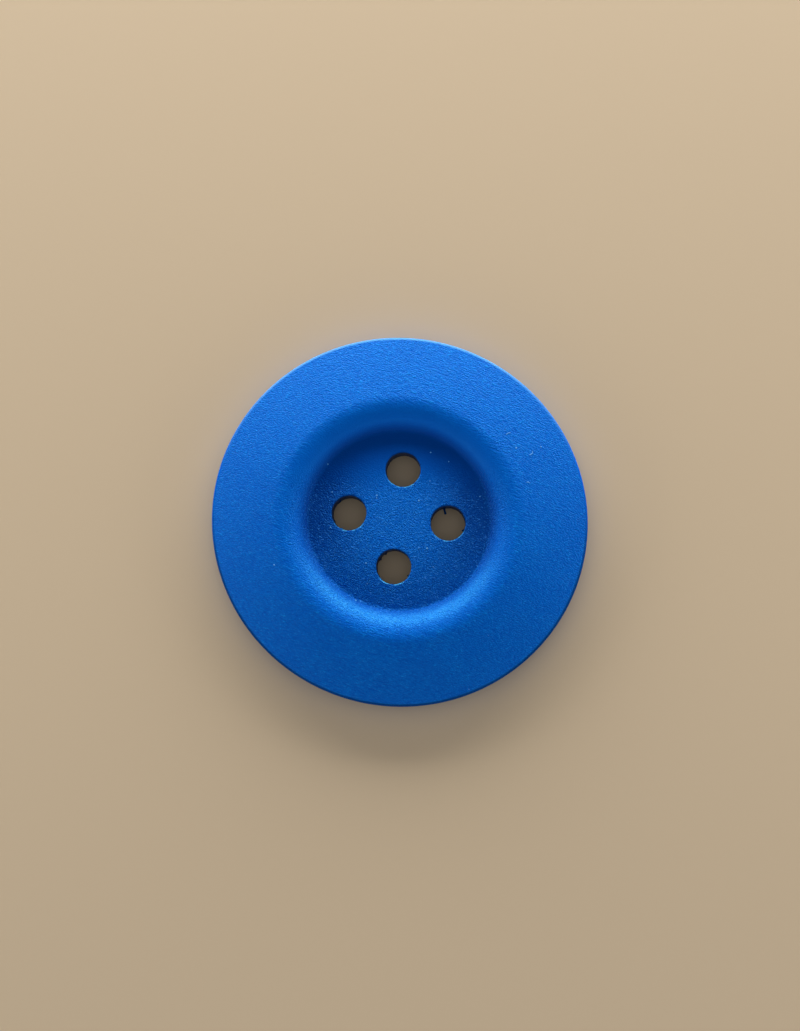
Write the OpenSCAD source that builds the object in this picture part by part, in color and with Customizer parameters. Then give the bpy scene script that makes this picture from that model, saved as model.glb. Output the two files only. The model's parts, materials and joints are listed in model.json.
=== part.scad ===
// Large turned wooden button with a dished face and four sewing holes.
// Origin at the middle of the flat back, +Z out through the face, +X along the grain of the wood.

/* [Blank] */
// Length of the button along the grain
along_grain = 60; // [56:0.5:66]
// Width across the grain, a little less because wood shrinks that way as it dries
across_grain = 58.8; // [55:0.1:66]
// Thickness from the back to the crest of the rim
thickness = 7; // [6:0.1:9]

/* [Rim] */
// Height of the outer edge above the back, measured before it is rounded over
edge_height = 3.9; // [3.2:0.05:4.6]
// Diameter of the crest, the highest ring of the face
crest_d = 38; // [35:0.5:44]
// Radius of the rounded shoulder between the rim and the well
shoulder_r = 4.3; // [3:0.1:6]
// Radius of the gentle crown that carries the rim from the shoulder down to the edge
rim_crown_r = 115; // [80:1:200]
// Rounding of the outer edge on the face side
face_edge_r = 0.6; // [0.3:0.05:1]
// Rounding of the outer edge on the back side
back_edge_r = 1.5; // [0.8:0.1:2.2]

/* [Well] */
// Depth of the well at the foot of its wall, below the crest
well_depth = 3; // [2.2:0.1:3.6]
// Slope of the well's wall above the horizontal, in degrees
wall_slope = 52; // [44:1:60]
// Rise of the domed floor from the foot of the wall to the middle
floor_rise = 1.1; // [0.4:0.1:1.6]
// Rounding where the floor runs into the wall
foot_r = 0.6; // [0.3:0.1:1.2]

/* [Sewing holes] */
// Number of holes
hole_count = 4; // [2:1:4]
// Diameter of each hole
hole_d = 5.5; // [3:0.1:6.5]
// Diameter of the circle that the holes stand on, along the grain
hole_circle_d = 15.8; // [12:0.1:18]
// Turn of the hole pattern from the grain, in degrees
hole_turn = 13.7; // [0:0.1:90]
// Shift of the drilled pattern along the grain
hole_shift_along = -0.15; // [-1:0.05:1]
// Shift of the drilled pattern across the grain
hole_shift_across = 0.25; // [-1:0.05:1]

/* [Hidden] */

paint_blue = "#0c52b4";
// Largest gap between a rounded stretch of the section and its chords
chord_gap = 0.01;
// Facets round the turned blank and round each hole
turning_fn = 180;
hole_fn = 64;
// How far a drill runs past the surface at each end
drill_past = 1;

outer_r = along_grain / 2;
// Share of a length that is left across the grain after drying
shrink = across_grain / along_grain;

// Unit vector in the section at an angle from the outward direction
function aim(angle) = [cos(angle), sin(angle)];

// Points on an arc from one angle to another, end points included
function arc(centre, radius, from, to) =
    let (
        widest_step = 2 * acos(1 - chord_gap / radius),
        steps = max(2, ceil(abs(to - from) / widest_step))
    )
    [for (i = [0:steps]) centre + radius * aim(from + (to - from) * i / steps)];

// Lower of the two points that lie at given distances from two given points
function lower_meeting(p, p_distance, q, q_distance) =
    let (
        span = norm(q - p),
        u = (q - p) / span,
        foot = (span * span + p_distance * p_distance - q_distance * q_distance) / (2 * span),
        drop = sqrt(p_distance * p_distance - foot * foot)
    )
    p + foot * u + drop * [u.y, -u.x];

// Angle of the direction from one point to another
function heading(from, to) = atan2(to.y - from.y, to.x - from.x);

// Shoulder: its arc touches the full thickness at the crest
shoulder_c = [crest_d / 2, thickness - shoulder_r];
// Rim crown: touches the shoulder's arc and runs out through the edge
edge_point = [outer_r, edge_height];
crown_c = lower_meeting(shoulder_c, rim_crown_r - shoulder_r, edge_point, rim_crown_r);
crown_from_shoulder = heading(crown_c, shoulder_c);
// Face edge: touches the outer wall and the inside of the rim crown
face_edge_x = outer_r - face_edge_r;
face_edge_run = face_edge_x - crown_c.x;
face_edge_c = [
    face_edge_x,
    crown_c.y + sqrt(pow(rim_crown_r - face_edge_r, 2) - face_edge_run * face_edge_run)
];
crown_to_edge = heading(crown_c, face_edge_c);
// Back edge: touches the outer wall and the back
back_edge_c = [outer_r - back_edge_r, back_edge_r];
// Well wall: leaves the shoulder's arc at its own slope and falls to the foot
wall_along = aim(wall_slope);
wall_out = aim(wall_slope + 90);
wall_top = shoulder_c + shoulder_r * wall_out;
foot_height = thickness - well_depth;
wall_foot = wall_top - wall_along * (wall_top.y - foot_height) / wall_along.y;
// Floor: a dome through the foot of the wall, with its centre on the axis
floor_r = (wall_foot.x * wall_foot.x + floor_rise * floor_rise) / (2 * floor_rise);
floor_c = [0, foot_height + floor_rise - floor_r];
// Foot rounding: touches the wall and the outside of the dome
foot_start = wall_foot + foot_r * wall_out - floor_c;
foot_run = foot_start * wall_along;
foot_reach = foot_start * foot_start - pow(floor_r + foot_r, 2);
foot_slide = sqrt(foot_run * foot_run - foot_reach) - foot_run;
foot_c = wall_foot + foot_r * wall_out + foot_slide * wall_along;
foot_to_floor = heading(floor_c, foot_c);

// Middle of a hole on the drilled circle, drawn in across the grain with the wood around it
function hole_place(i) =
    let (turn = hole_turn + i * 360 / hole_count)
    [
        hole_shift_along + hole_circle_d / 2 * cos(turn),
        (hole_shift_across + hole_circle_d / 2 * sin(turn)) * shrink
    ];

// Half section of the blank, from the middle of the back round the edge to the middle of the floor
section = concat(
    [[0, 0]],
    arc(back_edge_c, back_edge_r, -90, 0),
    arc(face_edge_c, face_edge_r, 0, crown_to_edge),
    arc(crown_c, rim_crown_r, crown_to_edge, crown_from_shoulder),
    arc(shoulder_c, shoulder_r, crown_from_shoulder, wall_slope + 90),
    arc(foot_c, foot_r, wall_slope - 90, foot_to_floor - 180),
    arc(floor_c, floor_r, foot_to_floor, 90)
);

// The blank as it left the lathe, drawn in across the grain: two equal halves that meet along the grain
module turned_blank() {
    for (half = [0, 180])
        scale([1, shrink, 1])
            rotate(half)
                rotate_extrude(angle = 180, $fn = turning_fn)
                    polygon(section);
}

// Drills for the holes, right through the blank, on a pattern a little off its middle
module drills() {
    for (i = [0:hole_count - 1])
        translate([each hole_place(i), -drill_past])
            cylinder(d = hole_d, h = thickness + 2 * drill_past, $fn = hole_fn);
}

module button() {
    color(paint_blue)
        difference() {
            turned_blank();
            drills();
        }
}

button();
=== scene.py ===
"""Large blue wooden button: its painted surface, its torn hole edges, the dust on it, the studio, the camera.

All sizes are in metres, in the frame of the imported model: the origin is at the middle of the flat back, +Z
points out through the face and +X runs along the grain of the wood.
"""

import json
import logging
import math
from dataclasses import dataclass
from enum import Enum
from typing import Any, Callable, Sequence, Union

import bmesh
import bpy
import numpy as np
from mathutils import Euler, Matrix, Vector


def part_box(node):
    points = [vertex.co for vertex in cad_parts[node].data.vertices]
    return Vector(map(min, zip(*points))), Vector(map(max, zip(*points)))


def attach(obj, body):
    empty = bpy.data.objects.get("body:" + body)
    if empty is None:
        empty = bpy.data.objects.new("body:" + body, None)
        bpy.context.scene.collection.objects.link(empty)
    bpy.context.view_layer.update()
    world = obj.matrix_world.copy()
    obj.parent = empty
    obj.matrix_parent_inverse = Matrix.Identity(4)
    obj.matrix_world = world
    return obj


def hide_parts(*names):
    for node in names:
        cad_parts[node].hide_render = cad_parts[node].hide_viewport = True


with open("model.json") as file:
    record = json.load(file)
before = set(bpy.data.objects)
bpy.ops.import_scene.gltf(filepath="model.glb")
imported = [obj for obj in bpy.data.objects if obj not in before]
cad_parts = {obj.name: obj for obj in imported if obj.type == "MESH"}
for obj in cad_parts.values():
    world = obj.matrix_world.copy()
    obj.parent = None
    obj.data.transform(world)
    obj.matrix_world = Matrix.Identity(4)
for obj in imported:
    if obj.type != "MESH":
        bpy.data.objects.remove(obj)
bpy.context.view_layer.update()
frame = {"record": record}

log = logging.getLogger("wooden_button")

MM = 0.001
FULL_TURN = 2 * math.pi
RIGHT_ANGLE = math.pi / 2
# Turn of the grain from the level line of the photograph, which the camera and the light share
GRAIN_TURN = math.radians(19.276)
# Points of a mesh that lie closer together than this become one
WELD = 0.001 * MM
# Middle of a noise node's range
NOISE_MIDDLE = 0.5
# Sockets of a Mix node that carry colours
MIX_FIRST = 6
MIX_SECOND = 7
MIX_RESULT = 2

Colour = tuple[float, float, float]
# Sides of a cell of noise, along x, y and z
Cell = tuple[float, float, float]
# Where a smooth step starts and where it ends
Span = tuple[float, float]
Heights = Callable[[np.ndarray, np.ndarray], np.ndarray]


class Hole(Enum):
    """The four sewing holes, by the names of their mounts."""

    RIGHT = "hole_right"
    TOP = "hole_top"
    LEFT = "hole_left"
    BOTTOM = "hole_bottom"


class Value:
    """A shader socket that Python's operators work on; each operation adds a Math node."""

    def __init__(self, graph: "Graph", socket: bpy.types.NodeSocket) -> None:
        """Keep the socket and the graph that it belongs to."""
        self.graph = graph
        self.socket = socket

    def __add__(self, other: "Operand") -> "Value":
        """Sum of the two."""
        return self.graph.math("ADD", self, other)

    def __radd__(self, other: "Operand") -> "Value":
        """Sum of the two, with this one second."""
        return self.graph.math("ADD", other, self)

    def __sub__(self, other: "Operand") -> "Value":
        """This one less the other."""
        return self.graph.math("SUBTRACT", self, other)

    def __rsub__(self, other: "Operand") -> "Value":
        """The other less this one."""
        return self.graph.math("SUBTRACT", other, self)

    def __mul__(self, other: "Operand") -> "Value":
        """Product of the two."""
        return self.graph.math("MULTIPLY", self, other)

    def __rmul__(self, other: "Operand") -> "Value":
        """Product of the two, with this one second."""
        return self.graph.math("MULTIPLY", other, self)

    def __pow__(self, other: "Operand") -> "Value":
        """This one to the power of the other."""
        return self.graph.math("POWER", self, other)

    def __rpow__(self, other: "Operand") -> "Value":
        """The other to the power of this one."""
        return self.graph.math("POWER", other, self)


Operand = Union[Value, float]


class Graph:
    """The node tree of a material or of the world."""

    def __init__(self, tree: bpy.types.NodeTree) -> None:
        """Start from an empty tree."""
        tree.nodes.clear()
        self.tree = tree

    def node(
        self,
        kind: str,
        settings: dict[str, Any] | None = None,
        inputs: dict[Any, Any] | None = None,
    ) -> bpy.types.Node:
        """Add a node.

        Args:
            kind: The node's type.
            settings: Its own settings, which are set first.
            inputs: Numbers, colours or links for its sockets, by name or place.

        Returns:
            The new node.
        """
        made = self.tree.nodes.new(kind)
        for name, setting in (settings or {}).items():
            setattr(made, name, setting)
        for key, given in (inputs or {}).items():
            if isinstance(given, Value):
                self.tree.links.new(given.socket, made.inputs[key])
            else:
                made.inputs[key].default_value = given
        return made

    def out(self, node: bpy.types.Node, output: Union[int, str] = 0) -> Value:
        """One output of a node."""
        return Value(self, node.outputs[output])

    def math(self, operation: str, *operands: Operand) -> Value:
        """A Math node on numbers."""
        return self.out(self.node("ShaderNodeMath", {"operation": operation}, dict(enumerate(operands))))

    def place(self) -> Value:
        """Position on the object, in metres."""
        return self.out(self.node("ShaderNodeTexCoord"), "Object")

    def split(self, vector: Value) -> tuple[Value, Value, Value]:
        """The three numbers of a vector."""
        node = self.node("ShaderNodeSeparateXYZ", inputs={0: vector})
        return self.out(node, 0), self.out(node, 1), self.out(node, 2)

    def joined(self, x: Operand, y: Operand, z: Operand) -> Value:
        """A vector of three numbers."""
        return self.out(self.node("ShaderNodeCombineXYZ", inputs={0: x, 1: y, 2: z}))

    def in_cells(self, vector: Value, cell: Cell) -> Value:
        """A vector counted in cells of a given size along each axis."""
        return self.out(self.node("ShaderNodeVectorMath", {"operation": "DIVIDE"}, {0: vector, 1: cell}))

    def noise(self, vector: Value, cell: Cell, detail: float = 1.0) -> Value:
        """Smooth noise that swings about zero once in every cell or so.

        Args:
            vector: The place.
            cell: Size of a cell along each axis.
            detail: Number of finer layers on top.

        Returns:
            The noise.
        """
        inputs = {"Vector": self.in_cells(vector, cell), "Scale": 1.0, "Detail": detail}
        return self.out(self.node("ShaderNodeTexNoise", inputs=inputs)) - NOISE_MIDDLE

    def step(self, value: Value, low: float, high: float) -> Value:
        """Smooth step from 0 at the low end to 1 at the high end."""
        inputs = {"Value": value, "From Min": low, "From Max": high}
        return self.out(self.node("ShaderNodeMapRange", {"interpolation_type": "SMOOTHSTEP"}, inputs))

    def band(self, value: Value, rise: Span, fall: Span) -> Value:
        """1 between a rising and a falling smooth step, 0 outside them."""
        return self.step(value, *rise) * (1 - self.step(value, *fall))

    def mixed(self, share: Operand, first: Union[Value, Colour], second: Union[Value, Colour]) -> Value:
        """A colour between two others.

        Args:
            share: 0 for the first colour, 1 for the second.
            first: The first colour.
            second: The second colour.

        Returns:
            The mixed colour.
        """
        settings = {"data_type": "RGBA", "clamp_factor": True}
        inputs = {0: share}
        for socket, given in ((MIX_FIRST, first), (MIX_SECOND, second)):
            inputs[socket] = given if isinstance(given, Value) else (*given, 1.0)
        return self.out(self.node("ShaderNodeMix", settings, inputs), MIX_RESULT)

    def surface(self, shader: bpy.types.Node) -> None:
        """End a material's tree in a shader."""
        self.node("ShaderNodeOutputMaterial", inputs={"Surface": self.out(shader)})


def new_material(name: str) -> tuple[bpy.types.Material, Graph]:
    """Make a material with an empty node tree.

    Args:
        name: The material's name.

    Returns:
        The material and the graph of its nodes.
    """
    material = bpy.data.materials.new(name)
    material.use_nodes = True
    return material, Graph(material.node_tree)


def cube(side: float) -> Cell:
    """A cell with three equal sides."""
    return side, side, side


def beyond(start: float, span: Span) -> Span:
    """A span that is counted from a start of its own."""
    return start + span[0], start + span[1]


@dataclass(frozen=True)
class Arc:
    """A round stretch of the half section, about a centre at some radius and height."""

    centre: np.ndarray
    radius: float
    start: float
    end: float

    def points(self, rows: int) -> np.ndarray:
        """Points on the arc: the centre plus the radius times the unit vector at evenly spaced angles.

        Args:
            rows: Number of steps along the arc.

        Returns:
            Rows of radius and height, both ends included.
        """
        turn = np.linspace(self.start, self.end, rows + 1)
        return self.centre + self.radius * np.column_stack([np.cos(turn), np.sin(turn)])


def heading(start: np.ndarray, end: np.ndarray) -> float:
    """Angle of the direction from one point of the section to another."""
    return math.atan2(end[1] - start[1], end[0] - start[0])


@dataclass(frozen=True)
class TurnedSection:
    """Half section of the turned blank, before the wood drew in across the grain."""

    outer_r: float
    thickness: float
    edge_height: float = 3.9 * MM
    crest_r: float = 19 * MM
    shoulder_r: float = 4.3 * MM
    rim_crown_r: float = 115 * MM
    face_edge_r: float = 0.6 * MM
    back_edge_r: float = 1.5 * MM
    well_depth: float = 3 * MM
    wall_slope: float = math.radians(52)
    floor_rise: float = 1.1 * MM
    foot_r: float = 0.6 * MM
    foot_rows: int = 8
    shoulder_rows: int = 30
    crown_rows: int = 36
    face_edge_rows: int = 10
    back_edge_rows: int = 12

    @property
    def shoulder_centre(self) -> np.ndarray:
        """Centre of the shoulder's arc, which touches the full thickness at the crest."""
        return np.array([self.crest_r, self.thickness - self.shoulder_r])

    @property
    def shoulder(self) -> Arc:
        """Shoulder between the well and the rim; its top is the crest."""
        crown_start = heading(self.crown_centre, self.shoulder_centre)
        return Arc(self.shoulder_centre, self.shoulder_r, self.wall_slope + RIGHT_ANGLE, crown_start)

    @property
    def crown_centre(self) -> np.ndarray:
        """Centre of the rim's crown: it touches the shoulder's arc and passes through the edge."""
        shoulder = self.shoulder_centre
        edge = np.array([self.outer_r, self.edge_height])
        span = np.linalg.norm(edge - shoulder)
        along = (edge - shoulder) / span
        near = self.rim_crown_r - self.shoulder_r
        foot = (span**2 + near**2 - self.rim_crown_r**2) / (2 * span)
        drop = math.sqrt(near**2 - foot**2)
        return shoulder + foot * along + drop * np.array([along[1], -along[0]])

    @property
    def face_edge(self) -> Arc:
        """Rounding of the outer edge on the face side; it touches the crown and the outer wall."""
        crown = self.crown_centre
        reach = self.outer_r - self.face_edge_r
        height = crown[1] + math.sqrt((self.rim_crown_r - self.face_edge_r) ** 2 - (reach - crown[0]) ** 2)
        centre = np.array([reach, height])
        return Arc(centre, self.face_edge_r, heading(crown, centre), 0.0)

    @property
    def crown(self) -> Arc:
        """Gentle crown of the rim, from the shoulder to the edge."""
        return Arc(self.crown_centre, self.rim_crown_r, self.shoulder.end, self.face_edge.start)

    @property
    def back_edge(self) -> Arc:
        """Rounding of the outer edge on the back side."""
        centre = np.array([self.outer_r - self.back_edge_r, self.back_edge_r])
        return Arc(centre, self.back_edge_r, 0.0, -RIGHT_ANGLE)

    @property
    def wall_foot(self) -> np.ndarray:
        """Point where the well's wall would meet the foot's height."""
        top = self.shoulder.points(1)[0]
        drop = top[1] - (self.thickness - self.well_depth)
        return top - np.array([drop / math.tan(self.wall_slope), drop])

    @property
    def floor_r(self) -> float:
        """Radius of the floor's dome, through the foot of the wall."""
        reach = self.wall_foot[0]
        return (reach**2 + self.floor_rise**2) / (2 * self.floor_rise)

    @property
    def floor_centre(self) -> np.ndarray:
        """Centre of the floor's dome, on the axis."""
        return np.array([0.0, self.wall_foot[1] + self.floor_rise - self.floor_r])

    @property
    def foot(self) -> Arc:
        """Hollow rounding where the floor runs into the wall; it touches both."""
        along = np.array([math.cos(self.wall_slope), math.sin(self.wall_slope)])
        outward = np.array([-along[1], along[0]])
        start = self.wall_foot + self.foot_r * outward - self.floor_centre
        run = start @ along
        slide = math.sqrt(run**2 - start @ start + (self.floor_r + self.foot_r) ** 2) - run
        centre = self.floor_centre + start + slide * along
        floor_end = heading(self.floor_centre, centre) - math.pi
        return Arc(centre, self.foot_r, floor_end, self.wall_slope - RIGHT_ANGLE)

    def floor_height(self, radius: np.ndarray) -> np.ndarray:
        """Height of the domed floor at a distance from the axis: a circle about the floor's centre."""
        return self.floor_centre[1] + np.sqrt(self.floor_r**2 - radius**2)

    def face_height(self, radius: np.ndarray) -> np.ndarray:
        """Height of the whole face at a distance from the axis, read along the section."""
        line = np.concatenate([self.face_line(), self.face_edge.points(self.face_edge_rows)])
        return np.where(radius < line[0, 0], self.floor_height(radius), np.interp(radius, *line.T))

    def face_line(self) -> np.ndarray:
        """Section from the end of the floor to the outer edge, as rows of radius and height."""
        foot = self.foot.points(self.foot_rows)
        shoulder = self.shoulder.points(self.shoulder_rows)
        return np.concatenate([foot, shoulder, self.crown.points(self.crown_rows)[1:]])

    def outer_line(self) -> np.ndarray:
        """Section from the outer edge round to the back, as rows of radius and height."""
        face_edge = self.face_edge.points(self.face_edge_rows)
        return np.concatenate([face_edge[1:], self.back_edge.points(self.back_edge_rows)])


@dataclass(frozen=True)
class Lump:
    """A bead of paint or a shred of torn wood on the wall of a hole."""

    heading: float
    height: float
    reach: float
    half_width: float = 0.22 * MM
    half_height: float = 0.5 * MM


@dataclass(frozen=True)
class DrilledHole:
    """One sewing hole, with the part of the face and of the back that lies around it."""

    centre: np.ndarray
    radius: float
    lumps: tuple[Lump, ...]
    seed: int
    lip: float = 0.27 * MM
    back_lip: float = 0.2 * MM
    raggedness: float = 0.03 * MM
    wave_counts: tuple[int, ...] = (5, 9, 13, 17, 21, 25)
    face_rows: int = 20
    face_crowding: float = 1.5
    lip_rows: int = 8
    wall_rows: int = 24
    back_lip_rows: int = 4
    back_rows: int = 8

    def inward(self, turn: np.ndarray, height: np.ndarray) -> np.ndarray:
        """How far the wall stands in from the drilled circle.

        Each lump is a bell of its own reach, wide along the circle and tall along the bore, and a sum of sine
        waves round the circle roughens the whole wall.

        Args:
            turn: Headings of points on the wall.
            height: Heights of those points.

        Returns:
            The distance towards the hole's middle, for each point.
        """
        draw = np.random.default_rng(self.seed)
        count = np.array(self.wave_counts)
        phase = draw.uniform(0, FULL_TURN, count.size)
        waves = np.sin(turn[..., None] * count + phase) / np.sqrt(count)
        total = self.raggedness * waves.sum(-1)
        for lump in self.lumps:
            gap = (turn - lump.heading + math.pi) % FULL_TURN - math.pi
            sideways = gap * self.radius / lump.half_width
            along = (height - lump.height) / lump.half_height
            total = total + lump.reach * np.exp(-(sideways**2 + along**2))
        return total

    def grid(self, boundary: np.ndarray, floor: Heights) -> np.ndarray:
        """Surface from a closed boundary on the face, through the hole, to the same boundary on the back.

        Each column of the grid is one direction from the hole's middle. Its rows run in along the floor to
        the lip, over the lip's quarter circle, down the bore, over the back lip and out along the flat back.

        Args:
            boundary: Points of the boundary, along and across the grain.
            floor: Height of the face at a place.

        Returns:
            Grid of points, rows by columns.
        """
        spoke = boundary - self.centre
        turn = np.arctan2(spoke[:, 1], spoke[:, 0])
        edge = np.hypot(spoke[:, 0], spoke[:, 1])

        def point_height(distance: np.ndarray) -> np.ndarray:
            """Height of the face at a distance from the hole's middle, in each column."""
            return floor(self.centre[0] + distance * np.cos(turn), self.centre[1] + distance * np.sin(turn))

        share = np.linspace(1, 0, self.face_rows)[:, None] ** self.face_crowding
        face = self.radius + self.lip + (edge - self.radius - self.lip) * share
        lip_turn = np.linspace(0, RIGHT_ANGLE, self.lip_rows + 1)[1:, None]
        lip = self.radius + self.lip * (1 - np.sin(lip_turn)) + 0 * edge
        lip_z = point_height(lip) - self.lip * (1 - np.cos(lip_turn))
        down = np.linspace(0, 1, self.wall_rows + 1)[1:-1, None]
        wall_z = lip_z[-1] * (1 - down) + self.back_lip * down
        wall = self.radius + 0 * wall_z
        back_turn = np.linspace(0, RIGHT_ANGLE, self.back_lip_rows + 1)[:, None]
        back_lip = self.radius + self.back_lip * (1 - np.cos(back_turn)) + 0 * edge
        back_lip_z = self.back_lip * (1 - np.sin(back_turn)) + 0 * edge
        out = np.linspace(0, 1, self.back_rows + 1)[1:, None]
        back = self.radius + self.back_lip + (edge - self.radius - self.back_lip) * out

        inside = np.concatenate([lip, wall, back_lip])
        inside_z = np.concatenate([lip_z, wall_z, back_lip_z])
        # The raggedness fades out over both lips, so that the floor and the back stay smooth
        hold = np.ones((len(inside), 1))
        hold[: len(lip)] = np.sin(lip_turn) ** 2
        hold[-len(back_lip):] = np.cos(back_turn) ** 2
        inside = inside - hold * self.inward(turn + 0 * inside, inside_z)

        distance = np.concatenate([face, inside, back])
        height = np.concatenate([point_height(face), inside_z, 0 * back])
        x = self.centre[0] + distance * np.cos(turn)
        y = self.centre[1] + distance * np.sin(turn)
        return np.stack([x, y, height], axis=-1)


def ring_faces(rows: int, columns: int, first: int) -> np.ndarray:
    """Quads of a grid whose last column joins its first.

    Args:
        rows: Number of rows of points.
        columns: Number of columns of points.
        first: Index of the grid's first point.

    Returns:
        Four point indices for each quad.
    """
    row, column = np.meshgrid(np.arange(rows - 1), np.arange(columns), indexing="ij")
    following = (column + 1) % columns
    corners = [row * columns + column, row * columns + following]
    corners += [corners[1] + columns, corners[0] + columns]
    return first + np.stack(corners, axis=-1).reshape(-1, 4)


def skin(name: str, grids: Sequence[np.ndarray], material: bpy.types.Material) -> bpy.types.Object:
    """Make one smooth mesh object of several closed grids, joined where their points meet.

    Args:
        name: The piece's name.
        grids: Arrays of points, rows by columns, each closed along its columns.
        material: The piece's finish.

    Returns:
        The new object, at the origin.
    """
    starts = np.cumsum([0] + [grid.shape[0] * grid.shape[1] for grid in grids])
    points = np.concatenate([grid.reshape(-1, 3) for grid in grids])
    faces = np.concatenate([ring_faces(*grid.shape[:2], start) for grid, start in zip(grids, starts)])
    mesh = bpy.data.meshes.new(name)
    mesh.from_pydata(points, [], faces)
    shell = bmesh.new()
    shell.from_mesh(mesh)
    bmesh.ops.remove_doubles(shell, verts=shell.verts, dist=WELD)
    bmesh.ops.recalc_face_normals(shell, faces=shell.faces)
    shell.to_mesh(mesh)
    shell.free()
    mesh.shade_smooth()
    mesh.materials.append(material)
    piece = bpy.data.objects.new(name, mesh)
    bpy.context.scene.collection.objects.link(piece)
    return piece


def tube(path: np.ndarray, radii: np.ndarray, sides: int) -> np.ndarray:
    """A round profile carried along a path: each path point plus its radius round the path's direction.

    Args:
        path: Points along the middle.
        radii: Radius at each point; nought at both ends closes them.
        sides: Number of points round the profile.

    Returns:
        Grid of points, one row for each path point.
    """
    along = np.gradient(path, axis=0)
    along /= np.linalg.norm(along, axis=1, keepdims=True)
    across = np.cross(along, (0.0, 0.0, 1.0))
    across /= np.linalg.norm(across, axis=1, keepdims=True)
    upward = np.cross(across, along)
    turn = np.linspace(0, FULL_TURN, sides, endpoint=False)[None, :, None]
    ring = np.cos(turn) * across[:, None] + np.sin(turn) * upward[:, None]
    return path[:, None] + radii[:, None, None] * ring


def rounded_ends(share: np.ndarray, power: int) -> np.ndarray:
    """Share of the full radius along a path: a rounded box, the squarer the higher its even power.

    Args:
        share: Places along the path, from 0 to 1.
        power: The power.

    Returns:
        1 along the middle, falling to 0 at both ends.
    """
    return np.sqrt(np.clip(1 - (2 * share - 1) ** power, 0, 1))


@dataclass(frozen=True)
class Spot:
    """A place on the painted surface, taken apart into what the paint depends on.

    The radius is the distance from the axis before the wood drew in across the grain, and upward is the way
    to the photograph's upper side.
    """

    place: Value
    x: Value
    y: Value
    z: Value
    radius: Value
    upward: Value

    @classmethod
    def on_button(cls, graph: Graph, shrink: float) -> "Spot":
        """Read the place and work out the rest.

        Args:
            graph: The paint's graph.
            shrink: Share of a length left across the grain.

        Returns:
            The place.
        """
        place = graph.place()
        x, y, z = graph.split(place)
        turned_y = y * (1 / shrink)
        radius = (x * x + turned_y * turned_y) ** 0.5
        upward = y * math.cos(GRAIN_TURN) - x * math.sin(GRAIN_TURN)
        return cls(place, x, y, z, radius, upward)


@dataclass(frozen=True)
class Touch:
    """The paint's texture at a place: height, tone, swing about nought and share of stipple."""

    height: Value
    tone: Value
    swing: Value
    stippled: Value


@dataclass(frozen=True)
class PaintTexture:
    """Stipple in the well, the wood's grain on the rim, turning marks round the axis and a slow mottle.

    What stands high is also lighter. On the upper side of the well the paint has run smooth.
    """

    stipple_cell: float = 0.22 * MM
    rim_stipple: float = 0.07 * MM
    floor_stipple: float = 0.29 * MM
    rim_tone: float = 1.6
    floor_tone: float = 2.4
    stipple_end: Span = (1.2 * MM, 4 * MM)
    grain_cell: Cell = (0.95 * MM, 0.15 * MM, 0.15 * MM)
    grain_depth: float = 0.11 * MM
    grain_tone: float = 2.1
    mark_cell: Cell = (0.4 * MM, 16 * MM, 16 * MM)
    mark_depth: float = 0.01 * MM
    mottle_cell: float = 6 * MM
    mottle_detail: float = 2.0
    mottle_tone: float = 0.4
    middle_tone: float = 0.5
    smooth_upward: Span = (3 * MM, 10 * MM)
    smooth_end: Span = (16.5 * MM, 20 * MM)
    smoothness: float = 0.85

    def at(self, graph: Graph, spot: Spot, foot: float) -> Touch:
        """Work out the texture: noise in cells of each kind, each with its own depth and its own tone.

        Args:
            graph: The paint's graph.
            spot: The place.
            foot: Distance of the foot of the well's wall from the axis.

        Returns:
            The texture at the place.
        """
        upper_side = graph.step(spot.upward, *self.smooth_upward)
        run_smooth = upper_side * (1 - graph.step(spot.radius, *self.smooth_end))
        crispness = 1 - run_smooth * self.smoothness
        stipple = graph.noise(spot.place, cube(self.stipple_cell)) * crispness
        grain = graph.noise(spot.place, self.grain_cell) * crispness
        mottle = graph.noise(spot.place, cube(self.mottle_cell), self.mottle_detail)
        marks = graph.noise(graph.joined(spot.radius, spot.x, spot.y), self.mark_cell)
        stippled = 1 - graph.step(spot.radius, *beyond(foot, self.stipple_end))

        stipple_depth = self.rim_stipple + stippled * (self.floor_stipple - self.rim_stipple)
        grain_depth = (1 - stippled) * self.grain_depth
        height = stipple * stipple_depth + grain * grain_depth + marks * self.mark_depth
        stipple_tone = self.rim_tone + stippled * (self.floor_tone - self.rim_tone)
        tone = self.middle_tone + mottle * self.mottle_tone + stipple * stipple_tone + grain * self.grain_tone
        return Touch(height, tone, mottle + stipple, stippled)


@dataclass(frozen=True)
class WellShade:
    """Painted shade round the floor of the well, where the wall shades it, darkest on the upper side, towards
    the main light.
    """

    rise: Span = (4 * MM, 13 * MM)
    fall: Span = (14.4 * MM, 16.2 * MM)
    upward: Span = (-10 * MM, 0.0)
    lower_share: float = 0.4
    full_share: float = 1.25
    tone_loss: float = 0.5

    def share(self, graph: Graph, spot: Spot, tone: Value) -> Value:
        """Share of painted shade, less where the texture is light.

        Args:
            graph: The paint's graph.
            spot: The place.
            tone: Tone of the texture there.

        Returns:
            The share.
        """
        ring = graph.band(spot.radius, self.rise, self.fall)
        side = self.lower_share + (1 - self.lower_share) * graph.step(spot.upward, *self.upward)
        return ring * side * (self.full_share - self.tone_loss * tone)


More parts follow.
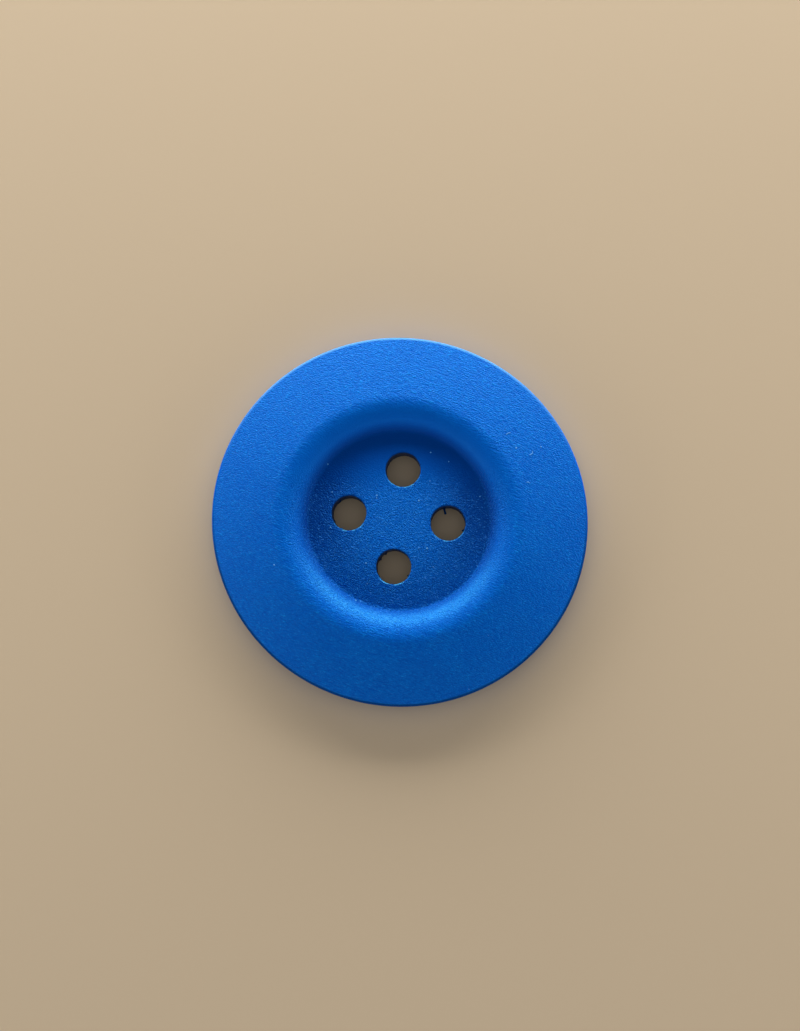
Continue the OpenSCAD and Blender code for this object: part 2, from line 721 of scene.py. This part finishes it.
@dataclass(frozen=True)
class LitRubbedWall:
    """The lower wall of the well, which faces the main light: a painted highlight of thin, pale paint, and a
    smoother, glossier finish.
    """

    rise: Span = (0.2 * MM, 1.4 * MM)
    fall: Span = (16 * MM, 17.8 * MM)
    upward: Span = (-13 * MM, -3 * MM)
    thin_highlight_share: float = 0.38
    lit_wear_share: float = 0.42
    lit_wear_tone: Span = (-0.2, 1.5)
    polish: float = 0.12

    def share(self, graph: Graph, spot: Spot, foot: float) -> Value:
        """Share of rubbed paint with a painted highlight.

        Args:
            graph: The paint's graph.
            spot: The place.
            foot: Distance of the foot of the well's wall from the axis.

        Returns:
            The share.
        """
        ring = graph.band(spot.radius, beyond(foot, self.rise), self.fall)
        return ring * (1 - graph.step(spot.upward, *self.upward))


@dataclass(frozen=True)
class EdgeLightAndShade:
    """Rounding of the outer edge: a painted highlight on the upper side, towards the main light, painted
    shade on the lower one, matt all round.
    """

    radius: Span = (-0.54 * MM, -0.27 * MM)
    height: Span = (-0.2 * MM, 0.1 * MM)
    edge_highlight_upward: Span = (6 * MM, 28 * MM)
    edge_highlight_share: float = 0.62
    shade_upward: Span = (-10 * MM, 8 * MM)
    shade_share: float = 0.8
    roughening: float = 0.5

    def share(self, graph: Graph, spot: Spot, section: TurnedSection) -> Value:
        """Share of the edge: 1 on the rounding, 0 elsewhere.

        Args:
            graph: The paint's graph.
            spot: The place.
            section: Half section of the button.

        Returns:
            The share.
        """
        far_out = graph.step(spot.radius, *beyond(section.outer_r, self.radius))
        return far_out * graph.step(spot.z, *beyond(section.face_edge.centre[1], self.height))

    def edge_highlight(self, graph: Graph, spot: Spot, edge: Value) -> Value:
        """Share of painted highlight, on the upper side of the edge, which faces the main light."""
        return edge * graph.step(spot.upward, *self.edge_highlight_upward) * self.edge_highlight_share

    def shaded(self, graph: Graph, spot: Spot, edge: Value) -> Value:
        """Share of painted shade, on the lower side of the edge."""
        return edge * (1 - graph.step(spot.upward, *self.shade_upward)) * self.shade_share


@dataclass(frozen=True)
class HoleLightAndShade:
    """Patches of worn paint with a painted highlight on the lower lip of each hole, which faces the main
    light, and painted shade on the walls of the holes.
    """

    lip_rise: Span = (0.0, 0.08 * MM)
    lip_crest: float = 0.1 * MM
    lower_from: float = 0.2
    patch_cell: float = 0.7 * MM
    patch_edge: Span = (-0.12, 0.1)
    lit_wear_share: float = 0.65
    wall_end: Span = (0.02 * MM, 0.1 * MM)
    shade_share: float = 0.9

    def shares(self, graph: Graph, spot: Spot, holes: Sequence[DrilledHole]) -> tuple[Operand, Operand]:
        """Shares of worn, lit paint on the lower lips and of painted shade on the walls, summed over the
        holes.

        Args:
            graph: The paint's graph.
            spot: The place.
            holes: The holes.

        Returns:
            Both shares, 0 away from the holes.
        """
        lips: Operand = 0.0
        walls: Operand = 0.0
        for hole in holes:
            along, across = spot.x - float(hole.centre[0]), spot.y - float(hole.centre[1])
            gap = (along * along + across * across) ** 0.5 - hole.radius
            lower = along * math.sin(GRAIN_TURN) - across * math.cos(GRAIN_TURN)
            lip = graph.band(gap, self.lip_rise, (self.lip_crest, hole.lip))
            lips = lips + lip * graph.step(lower, self.lower_from * hole.radius, hole.radius)
            # Painted shade on the walls of the holes
            walls = walls + (1 - graph.step(gap, *self.wall_end))
        patches = graph.step(graph.noise(spot.place, cube(self.patch_cell)), *self.patch_edge)
        return lips * patches * self.lit_wear_share, walls * self.shade_share


@dataclass(frozen=True)
class Flecks:
    """Small pale dots, at most one in each cell, in more of the cells on the well's floor than on the rim."""

    cell: float = 2.4 * MM
    radius: float = 0.09 * MM
    soft_edge: Span = (0.4, 1.4)
    rim_odds: float = 0.12
    floor_odds: float = 0.52
    floor_end: Span = (-0.9 * MM, 0.1 * MM)
    strength: float = 0.6

    def share(self, graph: Graph, spot: Spot, foot: float) -> Value:
        """Share of fleck: a soft dot round the middle of each cell whose lot is drawn.

        Args:
            graph: The paint's graph.
            spot: The place.
            foot: Distance of the foot of the well's wall from the axis.

        Returns:
            The share.
        """
        inputs = {"Vector": graph.in_cells(spot.place, cube(self.cell)), "Scale": 1.0}
        cells = graph.node("ShaderNodeTexVoronoi", inputs=inputs)
        inner, outer = (share * self.radius / self.cell for share in self.soft_edge)
        dot = 1 - graph.step(graph.out(cells, "Distance"), inner, outer)
        lot, _, _ = graph.split(graph.out(cells, "Color"))
        on_floor = 1 - graph.step(spot.radius, *beyond(foot, self.floor_end))
        odds = self.rim_odds + on_floor * (self.floor_odds - self.rim_odds)
        return dot * graph.math("LESS_THAN", lot, odds) * self.strength


@dataclass(frozen=True)
class BluePaint:
    """Satin blue paint in layers: the toned body, painted shade in the well, a painted highlight on the lower
    wall, painted glints, flecks, and painted highlight and shade on the edge and the holes, with worn lips.
    """

    deep: Colour = (0.0, 0.066, 0.46)
    middle: Colour = (0.0008, 0.121, 0.575)
    # Painted glints: the texture's highest tones turn pale, on the rim and on the well's floor
    pale: Colour = (0.006, 0.25, 0.70)
    glint: Colour = (0.04, 0.2, 0.7)
    glint_tone: Span = (0.75, 1.6)
    # Painted shade: the dark colour round the well's floor, where the wall shades it
    painted_shade: Colour = (0.0, 0.029, 0.285)
    # Painted highlight: thin, pale paint on the lower wall of the well, which faces the main light
    thin: Colour = (0.004, 0.21, 0.72)
    # Worn paint and painted highlight: paler paint on the lower wall and the lower lips of the holes, which
    # face the main light
    worn_and_lit: Colour = (0.075, 0.46, 0.82)
    # Painted highlight on the upper side of the outer edge, which faces the main light
    edge_highlight: Colour = (0.13, 0.4, 0.77)
    # Painted shade on the lower side of the outer edge and on the walls of the holes
    dark_shade: Colour = (0.0, 0.018, 0.1)
    fleck: Colour = (0.16, 0.42, 0.78)
    sheen_tint: Colour = (0.0, 0.7, 1.0)
    roughness: float = 0.5
    roughness_swing: float = 0.12
    texture: PaintTexture = PaintTexture()
    well_shade: WellShade = WellShade()
    lit_wall: LitRubbedWall = LitRubbedWall()
    edge_shading: EdgeLightAndShade = EdgeLightAndShade()
    hole_shading: HoleLightAndShade = HoleLightAndShade()
    flecks: Flecks = Flecks()

    def make(self, section: TurnedSection, shrink: float, holes: Sequence[DrilledHole]) -> bpy.types.Material:
        """Build the finish.

        Args:
            section: Half section of the button, for the foot of the well and the outer edge.
            shrink: Share of a length left across the grain.
            holes: The holes, whose lower lips are worn and carry a painted highlight, and whose walls carry
                painted shade.

        Returns:
            The material.
        """
        material, graph = new_material("blue_paint")
        spot = Spot.on_button(graph, shrink)
        foot = section.wall_foot[0]
        touch = self.texture.at(graph, spot, foot)
        rubbed_and_lit = self.lit_wall.share(graph, spot, foot)
        edge = self.edge_shading.share(graph, spot, section)
        lit_worn_lips, shaded_walls = self.hole_shading.shares(graph, spot, holes)

        body = self.body(graph, spot, touch, rubbed_and_lit)
        flecked = graph.mixed(self.flecks.share(graph, spot, foot), body, self.fleck)
        # Painted shade on the lower side of the edge and on the walls of the holes
        shaded = graph.mixed(self.edge_shading.shaded(graph, spot, edge) + shaded_walls, flecked, self.dark_shade)
        # Worn paint with a painted highlight on the lower lips of the holes
        worn_and_lit = graph.mixed(lit_worn_lips, shaded, self.worn_and_lit)
        # Painted highlight on the upper side of the outer edge
        colour = graph.mixed(self.edge_shading.edge_highlight(graph, spot, edge), worn_and_lit, self.edge_highlight)

        swing = touch.swing * self.roughness_swing
        roughness = self.roughness + swing + edge * self.edge_shading.roughening - rubbed_and_lit * self.lit_wall.polish
        bump = graph.node("ShaderNodeBump", inputs={"Strength": 1.0, "Distance": 1.0, "Height": touch.height})
        inputs = {
            "Base Color": colour,
            "Roughness": roughness,
            "Normal": graph.out(bump),
            "Specular Tint": (*self.sheen_tint, 1.0),
        }
        graph.surface(graph.node("ShaderNodeBsdfPrincipled", inputs=inputs))
        return material

    def body(self, graph: Graph, spot: Spot, touch: Touch, rubbed_and_lit: Value) -> Value:
        """Colour of the paint with the painted shade in the well, the painted highlight on the lower wall and
        the painted glints, below the flecks and the marks on the edge and the holes.

        Args:
            graph: The paint's graph.
            spot: The place.
            touch: The texture there.
            rubbed_and_lit: Share of rubbed paint with a painted highlight there.

        Returns:
            The colour.
        """
        toned = graph.mixed(touch.tone, self.deep, self.middle)
        # Painted shade round the floor of the well
        painted_shade = graph.mixed(self.well_shade.share(graph, spot, touch.tone), toned, self.painted_shade)
        # Painted highlight on the lower wall: thin, pale paint, and paler worn paint on its highest tones
        highlighted = graph.mixed(rubbed_and_lit * self.lit_wall.thin_highlight_share, painted_shade, self.thin)
        lit_wear_share = rubbed_and_lit * graph.step(touch.tone, *self.lit_wall.lit_wear_tone) * self.lit_wall.lit_wear_share
        worn_and_lit = graph.mixed(lit_wear_share, highlighted, self.worn_and_lit)
        # Painted glints on the highest tones of the texture
        glint_colour = graph.mixed(touch.stippled, self.pale, self.glint)
        return graph.mixed(graph.step(touch.tone, *self.glint_tone), worn_and_lit, glint_colour)


@dataclass(frozen=True)
class DustFinish:
    """Pale dust and lint, a little bluish from the paint around it."""

    dark: Colour = (0.03, 0.24, 0.62)
    light: Colour = (0.15, 0.44, 0.74)
    cell: float = 0.1 * MM
    detail: float = 2.0
    roughness: float = 0.9

    def make(self) -> bpy.types.Material:
        """Build the finish."""
        material, graph = new_material("dust")
        patches = NOISE_MIDDLE + graph.noise(graph.place(), cube(self.cell), self.detail)
        inputs = {"Base Color": graph.mixed(patches, self.dark, self.light), "Roughness": self.roughness}
        graph.surface(graph.node("ShaderNodeBsdfPrincipled", inputs=inputs))
        return material


@dataclass(frozen=True)
class FloorFinish:
    """Plain pale floor with a matt surface."""

    colour: Colour = (0.59, 0.46, 0.31)
    roughness: float = 0.8
    specular: float = 0.2

    def make(self) -> bpy.types.Material:
        """Build the finish."""
        material, graph = new_material("pale_floor")
        colour = (*self.colour, 1.0)
        inputs = {"Base Color": colour, "Roughness": self.roughness, "Specular IOR Level": self.specular}
        graph.surface(graph.node("ShaderNodeBsdfPrincipled", inputs=inputs))
        return material


@dataclass
class WoodenButton:
    """The turned, drilled and painted button.

    Inside a circle of the pattern's radius, each hole has a quarter of the floor and of the back to itself.
    A ring round that circle makes up the rest.
    """

    section: TurnedSection
    shrink: float
    holes: dict[Hole, DrilledHole]
    pattern_r: float = 12.2 * MM
    arc_steps: int = 80
    line_steps: int = 46
    floor_rows: int = 8
    back_rows: int = 14
    wave_count: int = 9
    wave_height: float = 0.02 * MM
    wave_lengths: tuple[float, float] = (4 * MM, 15 * MM)
    wave_fade: float = 3 * MM
    seed: int = 4

    @property
    def pattern_centre(self) -> np.ndarray:
        """Middle of the four holes, along and across the grain."""
        return np.mean([hole.centre for hole in self.holes.values()], axis=0)

    @property
    def pattern_turn(self) -> float:
        """Turn of the hole pattern from the grain."""
        spoke = self.holes[Hole.RIGHT].centre - self.pattern_centre
        return math.atan2(spoke[1] / self.shrink, spoke[0])

    def unevenness(self, x: np.ndarray, y: np.ndarray) -> np.ndarray:
        """Slight waviness from sanding: a sum of sine waves of drawn headings, lengths and phases.

        Args:
            x: Places along the grain.
            y: Places across the grain.

        Returns:
            Height to add at each place.
        """
        draw = np.random.default_rng(self.seed)
        aim = draw.uniform(0, FULL_TURN, self.wave_count)
        length = draw.uniform(*self.wave_lengths, self.wave_count)
        phase = draw.uniform(0, FULL_TURN, self.wave_count)
        along = x[..., None] * np.cos(aim) + y[..., None] * np.sin(aim)
        waves = np.sin(FULL_TURN * along / length + phase)
        return self.wave_height / self.wave_count * waves.sum(-1)

    def floor(self, x: np.ndarray, y: np.ndarray) -> np.ndarray:
        """Height of the floor of the well: the dome plus the unevenness."""
        return self.section.floor_height(np.hypot(x, y / self.shrink)) + self.unevenness(x, y)

    def face(self, x: np.ndarray, y: np.ndarray) -> np.ndarray:
        """Height of the face: the turned section plus the unevenness."""
        return self.section.face_height(np.hypot(x, y / self.shrink)) + self.unevenness(x, y)

    def on_pattern(self, turn: np.ndarray, reach: Union[float, np.ndarray]) -> np.ndarray:
        """Places round the middle of the hole pattern, drawn in across the grain.

        Args:
            turn: Angles from the grain.
            reach: Distances from the middle of the pattern.

        Returns:
            Places along and across the grain.
        """
        spoke = np.column_stack([reach * np.cos(turn), self.shrink * reach * np.sin(turn)])
        return self.pattern_centre + spoke

    def quarter(self, index: int) -> np.ndarray:
        """Closed boundary of one hole's quarter of the floor: an arc, then in to the middle and out again.

        Args:
            index: Place of the hole in the pattern.

        Returns:
            Points of the boundary.
        """
        middle = self.pattern_turn + index * RIGHT_ANGLE
        first, last = middle - RIGHT_ANGLE / 2, middle + RIGHT_ANGLE / 2
        arc = np.linspace(first, last, self.arc_steps, endpoint=False)
        inward = np.linspace(1, 0, self.line_steps, endpoint=False) * self.pattern_r
        outward = np.linspace(0, 1, self.line_steps, endpoint=False) * self.pattern_r
        turn = np.concatenate([arc, np.full(self.line_steps, last), np.full(self.line_steps, first)])
        reach = np.concatenate([np.full(self.arc_steps, self.pattern_r), inward, outward])
        return self.on_pattern(turn, reach)

    def ring(self) -> np.ndarray:
        """Surface from the hole pattern's circle out over the rim and round to the same circle on the back.

        Each column is one heading from the axis. Its rows follow the section, and the unevenness fades out at
        the outer edge.

        Returns:
            Grid of points, rows by columns.
        """
        start = self.pattern_turn - RIGHT_ANGLE / 2
        turn = start + np.linspace(0, FULL_TURN, len(self.holes) * self.arc_steps, endpoint=False)
        inner = self.on_pattern(turn, self.pattern_r)
        aim = np.arctan2(inner[:, 1] / self.shrink, inner[:, 0])
        inner_r = np.hypot(inner[:, 0], inner[:, 1] / self.shrink)

        face_line, outer_line = self.section.face_line(), self.section.outer_line()
        out = np.linspace(0, 1, self.floor_rows, endpoint=False)[:, None]
        floor_r = inner_r * (1 - out) + face_line[0, 0] * out
        home = np.linspace(0, 1, self.back_rows + 1)[1:, None]
        back_r = outer_line[-1, 0] * (1 - home) + inner_r * home
        line = np.concatenate([face_line, outer_line])
        radius = np.concatenate([floor_r, line[:, :1] + 0 * aim, back_r])
        height = np.concatenate([self.section.floor_height(floor_r), line[:, 1:] + 0 * aim, 0 * back_r])
        x, y = radius * np.cos(aim), self.shrink * radius * np.sin(aim)
        face_rows = len(floor_r) + len(face_line)
        fade = np.clip((self.section.outer_r - radius) / self.wave_fade, 0, 1)
        fade[face_rows:] = 0
        return np.stack([x, y, height + fade * self.unevenness(x, y)], axis=-1)

    def build(self, paint: bpy.types.Material) -> bpy.types.Object:
        """Make the button's mesh and put it in the place of the plain solid.

        Args:
            paint: The button's finish.

        Returns:
            The piece.
        """
        holes = self.holes.values()
        quarters = [hole.grid(self.quarter(index), self.floor) for index, hole in enumerate(holes)]
        piece = skin("painted_button", [self.ring(), *quarters], paint)
        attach(piece, "root")
        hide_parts("button")
        return piece


@dataclass(frozen=True)
class Splinter:
    """A shred of wood with a bead of paint on its end, across the mouth of a hole."""

    hole: DrilledHole
    heading: float = math.radians(123)
    height: float = 2.4 * MM
    length: float = 1.15 * MM
    root_r: float = 0.24 * MM
    stem_r: float = 0.15 * MM
    bead_r: float = 0.22 * MM
    bead_place: float = 0.88
    bead_width: float = 0.09
    root_depth: float = 0.2 * MM
    sag: float = 0.1 * MM
    end_power: int = 8
    rows: int = 24
    sides: int = 12

    def build(self, paint: bpy.types.Material) -> bpy.types.Object:
        """Make the splinter: a round profile along a slightly sagging path, thick at the root and the bead.

        Args:
            paint: The button's finish.

        Returns:
            The piece.
        """
        share = np.linspace(0, 1, self.rows + 1)
        aim = np.array([math.cos(self.heading), math.sin(self.heading)])
        reach = self.hole.radius + self.root_depth - share * (self.length + self.root_depth)
        path = np.column_stack([self.hole.centre + reach[:, None] * aim, self.height - self.sag * share**2])
        stem = self.stem_r + (self.root_r - self.stem_r) * (1 - share) ** 2
        bead = (self.bead_r - self.stem_r) * np.exp(-(((share - self.bead_place) / self.bead_width) ** 2))
        radii = (stem + bead) * rounded_ends(share, self.end_power)
        piece = skin("hole_splinter", [tube(path, radii, self.sides)], paint)
        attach(piece, "root")
        return piece


@dataclass(frozen=True)
class Speck:
    """A grain of dust at a place along and across the grain."""

    along: float
    across: float
    radius: float


@dataclass(frozen=True)
class Fibre:
    """A short curled thread of lint: where it starts, its first heading, its length and how far it turns."""

    along: float
    across: float
    heading: float
    length: float
    curl: float
    radius: float = 0.05 * MM


@dataclass
class Dust:
    """The grains of dust and threads of lint that lie on the face."""

    face: Heights
    specks: tuple[Speck, ...]
    fibres: tuple[Fibre, ...]
    flatness: float = 0.6
    speck_rows: int = 6
    speck_columns: int = 10
    fibre_points: int = 22
    fibre_sides: int = 8
    fibre_lift: float = 0.5
    fibre_end_power: int = 6

    def speck(self, speck: Speck) -> np.ndarray:
        """A grain of dust: a flattened ball, half sunk into the place where it lies.

        Args:
            speck: The grain.

        Returns:
            Grid of points.
        """
        tilt = np.linspace(0, math.pi, self.speck_rows + 1)[:, None]
        turn = np.linspace(0, FULL_TURN, self.speck_columns, endpoint=False)[None]
        x = speck.along + speck.radius * np.sin(tilt) * np.cos(turn)
        y = speck.across + speck.radius * np.sin(tilt) * np.sin(turn)
        middle = self.face(np.array([speck.along]), np.array([speck.across]))[0]
        z = middle + self.flatness * speck.radius * np.cos(tilt) + 0 * turn
        return np.stack([x, y, z], axis=-1)

    def fibre(self, fibre: Fibre) -> np.ndarray:
        """A thread of lint: a thin tube along an arc that lies on the face.

        Args:
            fibre: The thread.

        Returns:
            Grid of points.
        """
        share = np.linspace(0, 1, self.fibre_points)
        aim = fibre.heading + fibre.curl * share
        step = fibre.length / (share.size - 1)
        x = fibre.along + step * np.cumsum(np.cos(aim))
        y = fibre.across + step * np.cumsum(np.sin(aim))
        path = np.column_stack([x, y, self.face(x, y) + self.fibre_lift * fibre.radius])
        return tube(path, fibre.radius * rounded_ends(share, self.fibre_end_power), self.fibre_sides)

    def build(self, finish: bpy.types.Material) -> bpy.types.Object:
        """Make one piece of all the dust.

        Args:
            finish: The dust's finish.

        Returns:
            The piece.
        """
        grids = [self.speck(speck) for speck in self.specks] + [self.fibre(fibre) for fibre in self.fibres]
        piece = skin("dust_and_lint", grids, finish)
        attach(piece, "root")
        return piece


class Side(Enum):
    """Sides of the photograph, as turns from its right-hand side."""

    RIGHT = 0.0
    UPPER = RIGHT_ANGLE
    LEFT = math.pi
    LOWER = -RIGHT_ANGLE


def hang_lamp(name: str, size: tuple[float, float], radiance: float, spot: Vector, facing: Euler) -> None:
    """Add an area lamp that the camera doesn't see.

    Args:
        name: The lamp's name.
        size: Its width and height.
        radiance: How bright its face is.
        spot: Where its middle hangs.
        facing: Its turn from facing straight down.
    """
    lamp = bpy.data.lights.new(name, "AREA")
    lamp.shape = "RECTANGLE"
    lamp.size, lamp.size_y = size
    lamp.energy = radiance * math.pi * size[0] * size[1]
    hung = bpy.data.objects.new(name, lamp)
    hung.location = spot
    hung.rotation_euler = facing
    hung.visible_camera = False
    bpy.context.scene.collection.objects.link(hung)


@dataclass(frozen=True)
class Panel:
    """An upright sheet of soft light that stands on the floor and faces the button."""

    side: Side
    height: float
    radiance: float
    width: float = 0.9
    distance: float = 0.45

    def build(self) -> None:
        """Make the lamp; the camera doesn't see it."""
        turn = GRAIN_TURN + self.side.value
        away = Vector((math.cos(turn), math.sin(turn), 0.0))
        spot = away * self.distance + Vector((0, 0, self.height / 2))
        facing = (-away).to_track_quat("-Z", "Y").to_euler()
        hang_lamp(f"panel_{self.side.name.lower()}", (self.width, self.height), self.radiance, spot, facing)


@dataclass
class Studio:
    """Pale floor in a tent of soft light: a bright upright panel, three weak ones and a sheet overhead."""

    floor_finish: bpy.types.Material
    floor_half: float = 0.449
    panels: tuple[Panel, ...] = (
        Panel(Side.UPPER, height=0.23, radiance=9.4),
        Panel(Side.LEFT, height=0.165, radiance=3.1),
        Panel(Side.RIGHT, height=0.165, radiance=2.8),
        Panel(Side.LOWER, height=0.165, radiance=1.7),
    )
    sheet_height: float = 1.0
    sheet_size: tuple[float, float] = (1.7, 1.7)
    sheet_radiance: float = 0.49
    fill_strength: float = 0.05
    fill_colour: Colour = (0.86, 0.93, 1.0)
    backdrop: Colour = (0.82, 0.80, 0.76)

    def build(self) -> None:
        """Make the floor, the lamps and the world."""
        self.lay_floor()
        for panel in self.panels:
            panel.build()
        hang_lamp("sheet", self.sheet_size, self.sheet_radiance, Vector((0, 0, self.sheet_height)), Euler())
        self.fill_world()

    def lay_floor(self) -> None:
        """A flat square under the button's back, which ends at the feet of the panels."""
        turn = GRAIN_TURN + RIGHT_ANGLE * (np.arange(4) + 0.5)
        corners = self.floor_half * math.sqrt(2) * np.column_stack([np.cos(turn), np.sin(turn), 0 * turn])
        mesh = bpy.data.meshes.new("floor")
        mesh.from_pydata(corners, [], [(0, 1, 2, 3)])
        mesh.materials.append(self.floor_finish)
        floor = bpy.data.objects.new("floor", mesh)
        bpy.context.scene.collection.objects.link(floor)

    def fill_world(self) -> None:
        """Even weak light from all round; the camera sees a plain pale backdrop instead."""
        world = bpy.data.worlds.new("studio")
        world.use_nodes = True
        bpy.context.scene.world = world
        graph = Graph(world.node_tree)
        fill_inputs = {"Color": (*self.fill_colour, 1.0), "Strength": self.fill_strength}
        fill = graph.node("ShaderNodeBackground", inputs=fill_inputs)
        seen = graph.node("ShaderNodeBackground", inputs={"Color": (*self.backdrop, 1.0), "Strength": 1.0})
        camera_ray = graph.out(graph.node("ShaderNodeLightPath"), "Is Camera Ray")
        inputs = {0: camera_ray, 1: graph.out(fill), 2: graph.out(seen)}
        both = graph.node("ShaderNodeMixShader", inputs=inputs)
        graph.node("ShaderNodeOutputWorld", inputs={"Surface": graph.out(both)})


@dataclass(frozen=True)
class PhotoCamera:
    """Camera that looks down on the face, leaning a little to the photograph's right and lower sides."""

    focal_px: float = 1500.0
    image_long_px: float = 1031.0
    sensor: float = 36.0
    lean_right: float = math.radians(2)
    lean_down: float = math.radians(5)
    distance: float = 238.02 * MM
    target_height: float = 4.25 * MM
    slide_right: float = 0.1846 * MM
    slide_up: float = 0.7193 * MM
    clip: tuple[float, float] = (0.01, 20.0)

    def build(self) -> None:
        """Make the camera and set it as the scene's own."""
        level = Vector((math.cos(GRAIN_TURN), math.sin(GRAIN_TURN), 0.0))
        upward = Vector((-math.sin(GRAIN_TURN), math.cos(GRAIN_TURN), 0.0))
        back = Vector((0, 0, 1)) + math.tan(self.lean_right) * level - math.tan(self.lean_down) * upward
        back.normalize()
        right = (level - level.dot(back) * back).normalized()
        top = back.cross(right)
        data = bpy.data.cameras.new("photo_camera")
        data.sensor_width = self.sensor
        data.lens = self.focal_px / self.image_long_px * self.sensor
        data.clip_start, data.clip_end = self.clip
        camera = bpy.data.objects.new("photo_camera", data)
        above = Vector((0, 0, self.target_height)) + self.distance * back
        spot = above + self.slide_right * right + self.slide_up * top
        camera.matrix_world = Matrix.Translation(spot) @ Matrix((right, top, back)).transposed().to_4x4()
        bpy.context.scene.collection.objects.link(camera)
        bpy.context.scene.camera = camera


# What stands on the wall of each hole
HOLE_LUMPS: dict[Hole, tuple[Lump, ...]] = {
    Hole.RIGHT: (
        Lump(math.radians(-2), 1.2 * MM, 0.42 * MM),
        Lump(math.radians(122), 2.3 * MM, 0.2 * MM, 0.3 * MM),
    ),
    Hole.TOP: (
        Lump(math.radians(-17), 1.0 * MM, 0.3 * MM),
        Lump(math.radians(-143), 2.0 * MM, 0.12 * MM),
    ),
    Hole.LEFT: (
        Lump(math.radians(146), 2.6 * MM, 0.3 * MM, 0.5 * MM, 0.9 * MM),
        Lump(math.radians(-138), 1.6 * MM, 0.18 * MM, 0.35 * MM),
        Lump(math.radians(-95), 4.3 * MM, 0.22 * MM, 0.12 * MM, 0.25 * MM),
    ),
    Hole.BOTTOM: (
        Lump(math.radians(141), 1.4 * MM, 0.3 * MM, 0.3 * MM, 0.8 * MM),
        Lump(math.radians(168), 1.6 * MM, 0.32 * MM, 0.35 * MM, 0.8 * MM),
        Lump(math.radians(-11), 1.0 * MM, 0.42 * MM),
    ),
}

# Grains of dust on the face
SPECKS = (
    Speck(13.8 * MM, 16.7 * MM, 0.15 * MM), Speck(17.4 * MM, 18.3 * MM, 0.13 * MM),
    Speck(17.3 * MM, 12.2 * MM, 0.1 * MM), Speck(1.2 * MM, 11.85 * MM, 0.12 * MM),
    Speck(4.4 * MM, 11.4 * MM, 0.09 * MM), Speck(2.0 * MM, 3.9 * MM, 0.14 * MM),
    Speck(-4.55 * MM, 2.5 * MM, 0.13 * MM), Speck(-4.45 * MM, 2.1 * MM, 0.1 * MM),
    Speck(5.75 * MM, -2.8 * MM, 0.14 * MM), Speck(-2.6 * MM, -8.2 * MM, 0.12 * MM),
    Speck(-13.7 * MM, 4.7 * MM, 0.13 * MM), Speck(-2.2 * MM, -14.3 * MM, 0.15 * MM),
    Speck(-16.0 * MM, -13.3 * MM, 0.12 * MM), Speck(-9.85 * MM, -4.7 * MM, 0.11 * MM),
    Speck(-11.5 * MM, 0.7 * MM, 0.1 * MM), Speck(10.9 * MM, 7.8 * MM, 0.1 * MM),
)

# Threads of lint on the upper right of the rim
FIBRES = (
    Fibre(11.6 * MM, 18.1 * MM, math.radians(80), 0.9 * MM, math.radians(-70)),
    Fibre(16.0 * MM, 16.4 * MM, math.radians(10), 1.0 * MM, math.radians(110)),
    Fibre(17.0 * MM, 12.0 * MM, math.radians(40), 0.7 * MM, math.radians(-60), 0.04 * MM),
)


def button_from_frame() -> WoodenButton:
    """Take the button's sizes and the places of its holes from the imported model.

    Returns:
        The button, ready to build.
    """
    low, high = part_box("button")
    outer_r = (high.x - low.x) / 2
    mounts = {mount["name"]: mount for mount in frame["record"]["mounts"]}
    holes = {
        hole: DrilledHole(
            centre=np.array(mounts[hole.value]["pos_m"][:2]),
            radius=mounts[hole.value]["dims"]["r_mm"] * MM,
            lumps=HOLE_LUMPS[hole],
            seed=seed,
        )
        for seed, hole in enumerate(Hole)
    }
    return WoodenButton(TurnedSection(outer_r, high.z - low.z), (high.y - low.y) / (high.x - low.x), holes)


def main() -> None:
    """Build the button, what lies on it, the studio and the camera."""
    logging.basicConfig(level=logging.INFO, format="%(name)s: %(message)s")
    button = button_from_frame()
    paint = BluePaint().make(button.section, button.shrink, list(button.holes.values()))
    pieces = [
        button.build(paint),
        Splinter(button.holes[Hole.RIGHT]).build(paint),
        Dust(button.face, SPECKS, FIBRES).build(DustFinish().make()),
    ]
    for piece in pieces:
        log.info("%s has %d faces", piece.name, len(piece.data.polygons))
    Studio(FloorFinish().make()).build()
    PhotoCamera().build()
    bpy.context.scene.view_settings.view_transform = "Standard"


if __name__ == "__main__":
    main()
